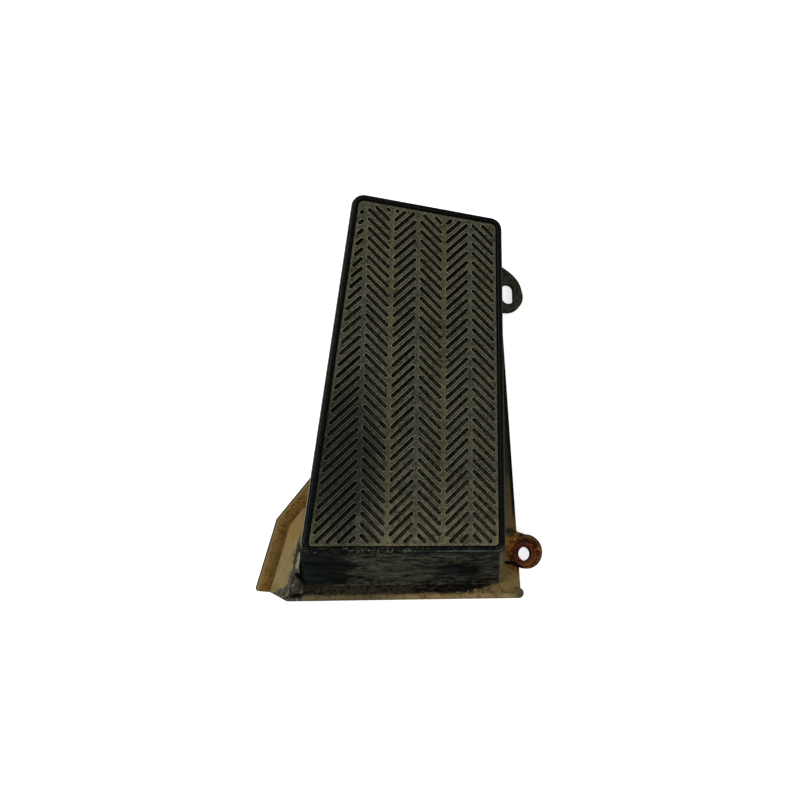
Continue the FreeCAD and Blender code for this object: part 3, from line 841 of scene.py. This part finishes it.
def tread_material():
    """Dusty rubber, worn dark at the left, with dirt in the slots and painted shade on their walls."""
    s = Shader("tread_rubber")
    h = s.tread_height()
    rim = s.rim_distance()
    fine = s.noise(0.8, 4, 0.75)
    grit = s.noise(2.2, 5, 0.7)
    patch = s.noise(6.0, 5, 0.65)
    medium = s.noise(14.0, 5, 0.65)
    broad = s.noise(55.0, 3, 0.5)
    top = s.step(h, -0.42, -0.32)
    lip = s.step(h, -0.2, -0.08)
    # worn rubber, browner along the valleys of the herringbone, and bluer along its peaks
    column = s.math("PINGPONG", s.sub(s.x, VALLEY_X), SLOT_PITCH_X)
    column = s.add(column, s.wander(patch, 5.0))
    valley = s.step(column, 4.6, 1.0)
    peak = s.step(column, SLOT_PITCH_X - 4.6, SLOT_PITCH_X - 1.0)
    peak = s.mul(peak, s.step(medium, 0.3, 0.6, 0.25, 0.8))
    heel = s.step(s.y, 22.0, 4.0)
    toe = s.step(s.y, 110.0, 225.0)
    dark_side = s.add(s.radius(*WORN_AREA, 0.42), s.wander(medium, 34.0))
    dark_side = s.step(dark_side, 36.0, 10.0)
    brown = s.add(s.mul(valley, 0.75), s.add(s.mul(heel, 0.45), s.mul(toe, 0.3)))
    brown = s.mul(brown, s.step(patch, 0.25, 0.7, 0.35, 1.1), clamp=True)
    colour = s.mix(s.step(broad, 0.3, 0.7), RUBBER_LIGHT, RUBBER_DARK)
    colour = s.mix(peak, colour, RUBBER_PEAK)
    # less brown at the right, over more of the width towards the toe
    brown = s.mul(brown, s.step(s.add(s.x, s.mul(s.y, 0.12)), -34.0, -10.0, 1.0, 0.3))
    colour = s.mix(brown, colour, RUBBER_BROWN)
    colour = s.mix(s.mul(dark_side, s.blend(peak, 0.75, 0.35)), colour, RUBBER_WORN)
    lip_amount = s.mul(lip, s.step(patch, 0.3, 0.6, 0.55, 1.0))
    lip_colour = s.mix(brown, LIP_GREY, LIP_BROWN)
    colour = s.mix(lip_amount, colour, s.mix(dark_side, lip_colour, LIP_WORN))
    border = s.mul(s.step(s.add(rim, s.wander(patch, 3.0)), 7.0, 5.4), s.invert(dark_side))
    colour = s.mix(s.mul(border, s.step(s.y, 60.0, 5.0, 0.4, 0.9)), colour, BORDER_DUST)
    # grime in blots and grains, then pale grains of dust
    grime = s.step(s.add(s.mul(grit, 0.75), s.mul(medium, 0.3)), 0.47, 0.64, 0.0, 0.6)
    colour = s.mix(grime, colour, GRIME)
    colour = s.mix(s.step(fine, 0.53, 0.64, 0.0, 0.8), colour, GRIME_GRAIN)
    speckle = s.step(s.add(s.mul(fine, 0.7), s.mul(grit, 0.35)), 0.43, 0.36, 0.0, 0.8)
    colour = s.mix(speckle, colour, DUST_GRAIN)
    # dirt in the slots, and painted shade on their walls
    clods = s.noise(1.9, 5, 0.75, 0.4)
    packed = s.mul(s.step(clods, 0.38, 0.6), s.step(s.y, 20.0, 190.0, 0.9, 0.35))
    floor = s.mix(packed, SLOT_BLACK, SLOT_DIRT)
    floor = s.mix(s.mul(dark_side, 0.8), floor, SLOT_WORN)
    # the slots' upper walls painted near black: painted shade
    wall = s.mul(s.step(h, -1.15, -0.85), 0.95)
    floor = s.mix(wall, floor, SLOT_WALL_SHADE)
    seam = s.mix(s.step(grit, 0.45, 0.6), SEAM_DIRT, SEAM_DIRT_DARK)
    floor = s.mix(s.step(rim, PAD_INSET + 0.3, PAD_INSET - 0.05), floor, seam)
    colour = s.mix(top, floor, colour)
    rough = s.add(s.blend(dark_side, 0.62, 0.4), s.mul(fine, 0.25))
    relief = s.add(s.mul(fine, 0.7), s.add(s.mul(grit, 0.9), s.mul(clods, 0.5)))
    return s.finish(colour, rough, relief, depth=0.2, specular=0.05)


# Lines and points in plan on the base: wing, cheek, flange and ears
WING_FOLD = ((-168.0, -22.8), (-157.4, 18.9), (-148.6, 28.0))
WING_OUTLINE = ((-143.6, 52.3), (-166.3, 22.7), (-177.6, -22.0))
CHEEK_RIDGE = ((-151.0, 8.0), (-156.9, -17.4), (-164.8, -22.9))
FLANGE_OUTLINE = ((-4.2, -22.0), (-8.6, 85.0))
GOUGE_ENDS = ((-151.1, -12.0), (-150.0, -13.2))
STREAK_ENDS = ((-149.8, 1.0), (-151.4, -7.5))
CLOT_ENDS = ((-153.5, -25.5), (-144.5, -25.0))
SMEAR_CENTRE = (-149.6, -18.6)
PATCH_CENTRE = (-9.6, 14.2)
STAIN_CENTRE = (-7.5, 9.0)
EAR_CENTRE = (1.0, 1.5)
CRACK_ENDS = ((-12.8, -5.6), (-7.6, -6.0))
CRACK_TIP_ENDS = ((-6.4, -6.8), (-3.0, -8.6))
BOLT_HOLE = (0.0, 0.0)


def base_grain(s):
    """Noises and wandering coordinates that the base's mud, dirt and rust share."""
    g = SimpleNamespace()
    g.fine = s.noise(0.8, 4, 0.7)
    g.grit = s.noise(2.2, 5, 0.7)
    g.medium = s.noise(9.0, 5, 0.62)
    g.wobble = s.wander(g.medium, 14.0)
    g.crumble = s.wander(g.grit, 3.0)
    g.crumbs = s.mul(g.crumble, 0.6)
    g.along = s.add(s.y, g.wobble)
    g.across = s.add(s.x, g.wobble)
    return g


def flange_mud(s, g):
    """Right flange: tan near the heel, dark olive grey near the toe."""
    flange = s.mix(s.step(g.along, 20.0, 40.0), FLANGE_HEEL, FLANGE_MIDDLE)
    flange = s.mix(s.step(g.along, 42.0, 60.0), flange, FLANGE_OLIVE)
    toeward = s.mix(s.step(g.grit, 0.4, 0.6), FLANGE_TOE, FLANGE_TOE_DARK)
    flange = s.mix(s.step(g.along, 66.0, 82.0, 0.0, 0.85), flange, toeward)
    blots = s.mix(s.step(s.y, 40.0, 55.0), FLANGE_BLOT, FLANGE_BLOT_DARK)
    flange = s.mix(s.step(g.grit, 0.46, 0.68, 0.0, 0.6), flange, blots)
    edge = s.step(s.add(s.line(*FLANGE_OUTLINE), s.mul(g.crumble, 0.5)), 1.6, 0.5)
    return s.mix(s.mul(edge, s.step(g.along, 14.0, 34.0)), flange, FLANGE_EDGE)


def lip_mud(s, g):
    """Heel lip: tan, darker towards the left and grainy."""
    mud = s.mix(s.step(g.medium, 0.35, 0.65), LIP_MUD, LIP_MUD_DARK)
    mud = s.mix(s.step(g.across, -70.0, -112.0, 0.0, 0.85), mud, LIP_MUD_LEFT)
    mud = s.mix(s.step(g.across, -136.0, -150.0), mud, LIP_MUD_END)
    return s.mix(s.step(g.grit, 0.5, 0.64, 0.0, 0.75), mud, LIP_MUD_GRAIN)


def groove_dirt_and_shade(s, g, mud):
    """Groove between the end wall and the lip, black with dirt and painted shade at the wall, and
    crumbly at the lip.
    """
    inboard = s.step(s.x, -154.0, -151.0)
    groove = s.mul(s.mul(s.step(s.z, 6.0, 5.2), s.step(s.y, -15.0, -17.5)), inboard)
    groove = s.mul(groove, s.step(s.add(s.y, s.mul(g.crumble, 0.4)), -25.2, -24.4))
    crumb = s.noise(3.4, 5, 0.66, 0.2, s.mapped((0.6, 1.0, 1.0), (0.0, 0.0, -0.3)))
    crust_line = s.add(s.y, s.wander(crumb, 9.0))
    limit = s.step(s.x, -46.0, -18.0, -24.6, -20.2)
    crust = s.mix(s.step(g.grit, 0.42, 0.6), CRUST, CRUST_DARK)
    # black: dirt and painted shade in the gap at the wall's foot
    dirt = s.mix(s.step(crumb, 0.5, 0.64), GROOVE_BLACK_DIRT_AND_SHADE, GROOVE_DIRT)
    grey_dirt = s.mix(s.step(g.grit, 0.42, 0.62), GROOVE_GREY, GROOVE_GREY_DARK)
    dirt = s.mix(s.step(g.across, -66.0, -80.0, 0.0, 0.9), dirt, grey_dirt)
    crusted = s.step(s.sub(crust_line, limit), 0.6, -0.6)
    crusted = s.mul(crusted, s.step(g.across, -88.0, -72.0, 0.25, 1.0))
    dirt = s.mix(crusted, dirt, crust)
    groove_end = s.step(s.add(s.x, s.mul(g.wobble, 0.8)), -17.0, -26.0)
    return s.mix(s.mul(groove, groove_end), mud, dirt)


def wing_mud(s, g, mud):
    """Ochre on the wing outside its fold, with painted shade along the fold; on the cheek inside it the
    same mud painted lighter as tan, painted light on a face turned to the lamp.
    """
    fold = s.high(s.line(*WING_FOLD[:2]), s.line(*WING_FOLD[1:]))
    left = s.step(s.x, -136.0, -139.0)
    strip = s.mul(s.step(s.add(fold, s.mul(g.crumble, 0.4)), -0.4, 0.3), left)
    cheek_edge = s.add(s.x, s.step(s.y, -12.0, -6.0, 7.0, 0.0))
    cheek = s.mul(s.mul(s.invert(strip), s.step(cheek_edge, -140.0, -143.0)), s.step(s.z, 2.0, 4.0))
    outer = s.low(s.line(*WING_OUTLINE[1:]), s.line(*WING_OUTLINE[:2]))
    outer = s.add(outer, s.mul(g.crumble, 0.4))
    ochre = s.mix(s.step(g.grit, 0.4, 0.64), OCHRE, OCHRE_DARK)
    ochre = s.mix(s.step(g.medium, 0.4, 0.7, 0.0, 0.7), ochre, OCHRE_PALE)
    ochre = s.mix(s.step(g.fine, 0.55, 0.7, 0.0, 0.7), ochre, OCHRE_GRAIN)
    # painted shade in the crease along the fold
    ochre = s.mix(s.mul(s.step(fold, 6.5, 1.5), 0.55), ochre, OCHRE_FOLD_SHADE)
    # painted highlight along the wing's outer edge
    ochre = s.mix(s.band(outer, 0.9, 2.2, 0.4), ochre, WING_EDGE_HIGHLIGHT)
    ochre = s.mix(s.step(outer, 0.9, 0.4), ochre, WING_EDGE_DARK)
    # tan: the wing's mud painted lighter, painted light on the cheek's face turned to the lamp
    tan = s.mix(s.step(g.medium, 0.3, 0.7), TAN_LIT_PALE, TAN_LIT_DEEP)
    tan = s.mix(s.step(s.y, 0.0, 18.0, 0.0, 0.8), tan, TAN_LIT_TOEWARD)
    tan = s.mix(s.step(g.fine, 0.56, 0.75, 0.0, 0.4), tan, TAN_GRAIN)
    specks = s.add(s.mul(g.fine, 0.6), s.mul(g.grit, 0.4))
    tan = s.mix(s.step(specks, 0.6, 0.66, 0.0, 0.8), tan, TAN_SPECK)
    mud = s.mix(strip, mud, ochre)
    return s.mix(cheek, mud, tan)


def bare_patches(s, g):
    """Where mud has rubbed off: the cheek's inner ramp, its foot and the lip's left end."""
    bite = s.wander(g.medium, 6.0)
    ridge = s.high(s.line(*CHEEK_RIDGE[1:]), s.line(*CHEEK_RIDGE[:2]))
    ramp_end = s.step(s.add(s.x, s.mul(bite, 0.7)), -146.0, -149.0)
    bare = s.mul(s.step(s.add(ridge, bite), -0.6, 0.5), ramp_end)
    return s.mul(bare, s.step(s.add(s.y, bite), 14.0, 9.0))


def bare_plastic(s, g):
    """Dark plastic with pale streaks, a gouge, a clot and a smear of mud."""
    flow = s.noise(2.6, 5, 0.7, 1.2, s.mapped((1.0, 0.3, 0.5), (0.0, 0.0, -0.25)))
    plastic = s.mix(s.step(flow, 0.34, 0.62), RAMP_DARK, RAMP_GREY)
    plastic = s.mix(s.step(flow, 0.6, 0.68), plastic, RAMP_PALE)
    plastic = s.mix(s.near(*GOUGE_ENDS, g.crumbs, 1.0, 1.7), plastic, RAMP_GOUGE)
    plastic = s.mix(s.near(*STREAK_ENDS, g.crumbs, 0.5, 1.2), plastic, RAMP_STREAK)
    plastic = s.mix(s.near(*CLOT_ENDS, s.mul(g.crumble, 0.8), 0.9, 1.9), plastic, RAMP_CLOT)
    smear = s.step(s.add(s.radius(*SMEAR_CENTRE), s.mul(g.crumble, 1.2)), 2.4, 1.2)
    return s.mix(s.mul(smear, 0.8), plastic, s.mix(g.grit, SMEAR_LIGHT, SMEAR_DARK))


def lower_ear(s, g, colour):
    """Grey patch beside the lower ear, rust washed out of its sleeve, and a crack of painted shadow and
    dirt.
    """
    grey_patch = s.step(s.add(s.radius(*PATCH_CENTRE), s.mul(g.crumble, 1.6)), 4.0, 2.4)
    patch_colour = s.mix(s.step(g.grit, 0.42, 0.6), PATCH_GREY, PATCH_DARK)
    colour = s.mix(s.mul(grey_patch, 0.8), colour, patch_colour)
    r = s.radius(*BOLT_HOLE)
    rust = s.step(s.add(r, s.wander(g.medium, 11.0)), 15.0, 9.5)
    amber = s.mix(s.step(g.grit, 0.42, 0.56), AMBER, AMBER_DARK)
    colour = s.mix(s.mul(rust, 0.95), colour, amber)
    stain = s.mul(s.step(s.add(s.radius(*STAIN_CENTRE), s.mul(g.wobble, 0.7)), 8.0, 4.0), 0.85)
    stain = s.mul(stain, s.invert(grey_patch))
    stain_colour = s.mix(s.step(g.grit, 0.4, 0.58), STAIN_LIGHT, STAIN_DARK)
    colour = s.mix(stain, colour, stain_colour)
    dark_top = s.mul(s.mul(rust, s.step(s.add(s.y, g.crumble), 3.0, 6.5)), s.step(s.x, -7.0, -3.0))
    colour = s.mix(s.mul(dark_top, 0.85), colour, RUST_TOP)
    deep = s.band(s.add(r, s.wander(g.grit, 3.4)), 7.2, 8.6, 0.4)
    colour = s.mix(s.mul(deep, 0.9), colour, RUST_DEEP)
    ear = s.radius(*EAR_CENTRE)
    brink = s.step(s.add(ear, s.mul(g.crumble, 0.3)), 10.3, 10.9)
    brink = s.mul(s.mul(brink, s.step(s.x, -6.0, -2.0)), s.step(ear, 13.5, 12.5))
    colour = s.mix(s.mul(brink, 0.9), colour, RUST_BRINK)
    # painted shadow and dirt in the crack along the heel side of the lower ear's tongue
    crack = s.near(*CRACK_ENDS, g.crumbs, 0.8, 1.5)
    crack_tip = s.near(*CRACK_TIP_ENDS, g.crumbs, 0.7, 1.5)
    return s.mix(s.high(crack, crack_tip), colour, CRACK_SHADOW_AND_DIRT)


def toe_mud(s, g):
    """Grey mud with specks of rust, on the upper ear and the flange beside it."""
    mud = s.mix(s.step(g.grit, 0.38, 0.62), TOE_MUD, TOE_MUD_DARK)
    mud = s.mix(s.step(s.noise(3.4, 4, 0.6), 0.58, 0.68, 0.0, 0.8), mud, TOE_RUST)
    return s.mix(s.step(g.fine, 0.58, 0.7, 0.0, 0.8), mud, TOE_GRAIN)


def base_material():
    """Mud in ochre, tan and grey over black plastic, with rust round the lower ear."""
    s = Shader("base_plastic")
    g = base_grain(s)
    mud = s.mix(s.step(s.y, -23.0, -25.0), flange_mud(s, g), lip_mud(s, g))
    mud = wing_mud(s, g, groove_dirt_and_shade(s, g, mud))
    bare = bare_patches(s, g)
    colour = s.mix(bare, mud, bare_plastic(s, g))
    # knob at the lip's right end
    knob = s.mul(s.step(s.add(s.x, s.mul(g.wobble, 0.4)), -10.0, -5.0), s.step(s.y, -20.5, -23.0))
    knob_colour = s.mix(s.step(g.grit, 0.4, 0.62), KNOB_PLASTIC, KNOB_MUD)
    colour = s.mix(s.mul(knob, 0.85), colour, knob_colour)
    colour = lower_ear(s, g, colour)
    colour = s.mix(s.step(s.y, 150.0, 165.0), colour, toe_mud(s, g))
    # underside, plain and dusty
    under = s.mix(s.step(g.grit, 0.45, 0.75, 0.0, 0.6), UNDER_PLASTIC, UNDER_DUST)
    colour = s.mix(s.step(s.nz, -0.3, 0.2), under, colour)
    rough = s.blend(bare, 0.88, 0.42)
    relief = s.add(s.mul(g.fine, 0.5), s.add(s.mul(g.grit, 1.1), s.mul(g.medium, 0.6)))
    return s.finish(colour, rough, relief, depth=0.4, specular=0.12)


def rust_material():
    """Rusty sleeve in the lower ear, more orange towards the right and the heel."""
    s = Shader("rusty_steel")
    r = s.radius(*BOLT_HOLE)
    fine = s.noise(0.7, 4, 0.7)
    grit = s.noise(1.7, 5, 0.75)
    medium = s.noise(5.0, 4, 0.6)
    colour = s.mix(s.step(grit, 0.42, 0.56), RUST_RED, RUST_BLACK)
    side = s.step(s.add(s.mul(s.x, 0.8), s.mul(s.y, -0.6)), -2.0, 4.0)
    colour = s.mix(s.mul(side, s.step(medium, 0.35, 0.6)), colour, RUST_AMBER)
    arc = s.band(s.add(r, s.wander(grit, 2.6)), 5.6, 6.3, 0.25)
    colour = s.mix(s.mul(arc, 0.85), colour, RUST_ARC)
    colour = s.mix(s.step(fine, 0.56, 0.7, 0.0, 0.8), colour, RUST_GRAIN)
    # painted shade inside the bore
    colour = s.mix(s.step(r, 5.1, 4.6), colour, BORE_SHADE)
    relief = s.add(s.mul(fine, 0.6), s.mul(grit, 1.2))
    return s.finish(colour, s.add(0.6, s.mul(fine, 0.3)), relief, depth=0.4, specular=0.2)


def stained_material():
    """Dull steel with specks of rust."""
    s = Shader("stained_steel")
    fine = s.noise(0.8, 4, 0.7)
    grit = s.noise(2.2, 5, 0.7)
    colour = s.mix(s.step(grit, 0.35, 0.65), STEEL_GREY, STEEL_DARK)
    colour = s.mix(s.step(s.noise(3.1, 4, 0.6), 0.55, 0.68), colour, STEEL_RUST)
    colour = s.mix(s.step(fine, 0.58, 0.7, 0.0, 0.8), colour, STEEL_GRAIN)
    relief = s.add(s.mul(fine, 0.5), s.mul(grit, 0.6))
    return s.finish(colour, s.add(0.6, s.mul(fine, 0.25)), relief, depth=0.15, specular=0.3)


def screw_material():
    """Dulled zinc plating."""
    s = Shader("screw_steel")
    fine = s.noise(0.6, 4, 0.7)
    grit = s.noise(1.9, 5, 0.6)
    colour = s.mix(s.step(grit, 0.4, 0.7), ZINC_BRIGHT, ZINC_DULL)
    relief = s.add(s.mul(fine, 0.5), s.mul(grit, 0.4))
    s.bsdf.inputs["Metallic"].default_value = 0.85
    return s.finish(colour, s.add(0.36, s.mul(grit, 0.3)), relief, depth=0.06, specular=0.5)


# ---------------------------------------------------------------- carried-over CAD nodes

BEVEL_SEGMENTS = 2
BEVEL_ANGLE = math.radians(35.0)


def dress(name, material, bevel):
    """Give a CAD node its material and softened edges."""
    obj = nodes[name]
    for material_slot in obj.material_slots:
        material_slot.material = material
    modifier = obj.modifiers.new("Edges", "BEVEL")
    modifier.width = bevel * MM
    modifier.segments = BEVEL_SEGMENTS
    modifier.limit_method = "ANGLE"
    modifier.angle_limit = BEVEL_ANGLE


dress("upper_housing", housing_material(), 0.25)
muddy = base_material()
dress("base_moulding", muddy, 0.5)
mud_mesh(muddy)
dress("lower_ear_sleeve", rust_material(), 0.25)
dress("upper_ear_sleeve", stained_material(), 0.25)
dress("case_screws", screw_material(), 0.15)
pad = pad_mesh(tread_material())
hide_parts("tread_pad")


# ---------------------------------------------------------------- stage, light and camera

FLOOR_REACH = 3.0
FLOOR_DROP = 0.0004
FLOOR_GLOW = 0.72
FLOOR_GREYS = ((0.87, 0.87, 0.87), (0.89, 0.89, 0.89))
SKY_SEEN = 0.97
SKY_BELOW, SKY_ABOVE = 0.11, 0.32
SKY_BLEND = 0.2
LIGHT_SIZE = 1.0
LIGHT_TARGET = Vector((-0.085, 0.1, 0.02))
WHITE = (1.0, 1.0, 1.0, 1.0)


def floor_material():
    """Pale floor that glows a little, so that it stays near white, as the photograph's ground is."""
    s = Shader("floor")
    s.put(s.mix(s.noise(300.0, 2, 0.5), *FLOOR_GREYS), s.bsdf.inputs["Base Color"])
    s.bsdf.inputs["Emission Color"].default_value = WHITE
    s.bsdf.inputs["Emission Strength"].default_value = FLOOR_GLOW
    s.bsdf.inputs["Roughness"].default_value = 0.9
    s.bsdf.inputs["Specular IOR Level"].default_value = 0.1
    return s.material


def make_floor():
    """Square floor just under the object, which throws no light back on it."""
    corners = [(x * FLOOR_REACH, y * FLOOR_REACH, 0.0) for x, y in ((-1, -1), (1, -1), (1, 1), (-1, 1))]
    mesh = bpy.data.meshes.new("floor")
    mesh.from_pydata(corners, [], [(0, 1, 2, 3)])
    mesh.materials.append(floor_material())
    floor = bpy.data.objects.new("floor", mesh)
    floor.location.z = -FLOOR_DROP
    floor.visible_diffuse = False
    floor.visible_glossy = False
    bpy.context.scene.collection.objects.link(floor)


def soft_world():
    """White to the camera; as light, brighter from above than from below."""
    world = bpy.data.worlds.new("soft_white")
    world.use_nodes = True
    tree = world.node_tree
    direction = tree.nodes.new("ShaderNodeTexCoord")
    split = tree.nodes.new("ShaderNodeSeparateXYZ")
    fade = tree.nodes.new("ShaderNodeMapRange")
    for socket, value in zip(fade.inputs[1:5], (-SKY_BLEND, SKY_BLEND, SKY_BELOW, SKY_ABOVE)):
        socket.default_value = value
    path = tree.nodes.new("ShaderNodeLightPath")
    strength = tree.nodes.new("ShaderNodeMix")
    strength.inputs[3].default_value = SKY_SEEN
    background = tree.nodes["Background"]
    background.inputs[0].default_value = WHITE
    tree.links.new(direction.outputs["Generated"], split.inputs[0])
    tree.links.new(split.outputs[2], fade.inputs[0])
    tree.links.new(path.outputs["Is Camera Ray"], strength.inputs[0])
    tree.links.new(fade.outputs[0], strength.inputs[2])
    tree.links.new(strength.outputs[0], background.inputs[1])
    bpy.context.scene.world = world


def area_light(name, place, power):
    """Soft round light aimed at the object."""
    light = bpy.data.lights.new(name, "AREA")
    light.shape = "DISK"
    light.size = LIGHT_SIZE
    light.energy = power
    obj = bpy.data.objects.new(name, light)
    obj.location = place
    obj.rotation_euler = (LIGHT_TARGET - Vector(place)).to_track_quat("-Z", "Y").to_euler()
    bpy.context.scene.collection.objects.link(obj)


make_floor()
soft_world()
area_light("key", (-1.0, 0.45, 1.0), 17.0)
area_light("fill", (0.8, -0.7, 0.8), 5.0)

# Camera solved from the photograph: its axes and its place
camera_data = bpy.data.cameras.new("camera")
camera_data.sensor_width = 36.0
camera_data.lens = 31.5
camera_data.shift_x = -0.0375
camera_data.shift_y = -0.05
camera_data.clip_start = 0.01
camera_data.clip_end = 20.0
camera = bpy.data.objects.new("camera", camera_data)
right = Vector((0.98805, -0.00334, 0.15411))
up = Vector((-0.03646, 0.96633, 0.25470))
back = Vector((-0.14978, -0.25728, 0.95466))
place = Vector((-0.13942, 0.00505, 0.48165))
turn = Matrix((right, up, back)).transposed().to_4x4()
camera.matrix_world = Matrix.Translation(place) @ turn
bpy.context.scene.collection.objects.link(camera)
bpy.context.scene.camera = camera
bpy.context.scene.view_settings.view_transform = "Standard"
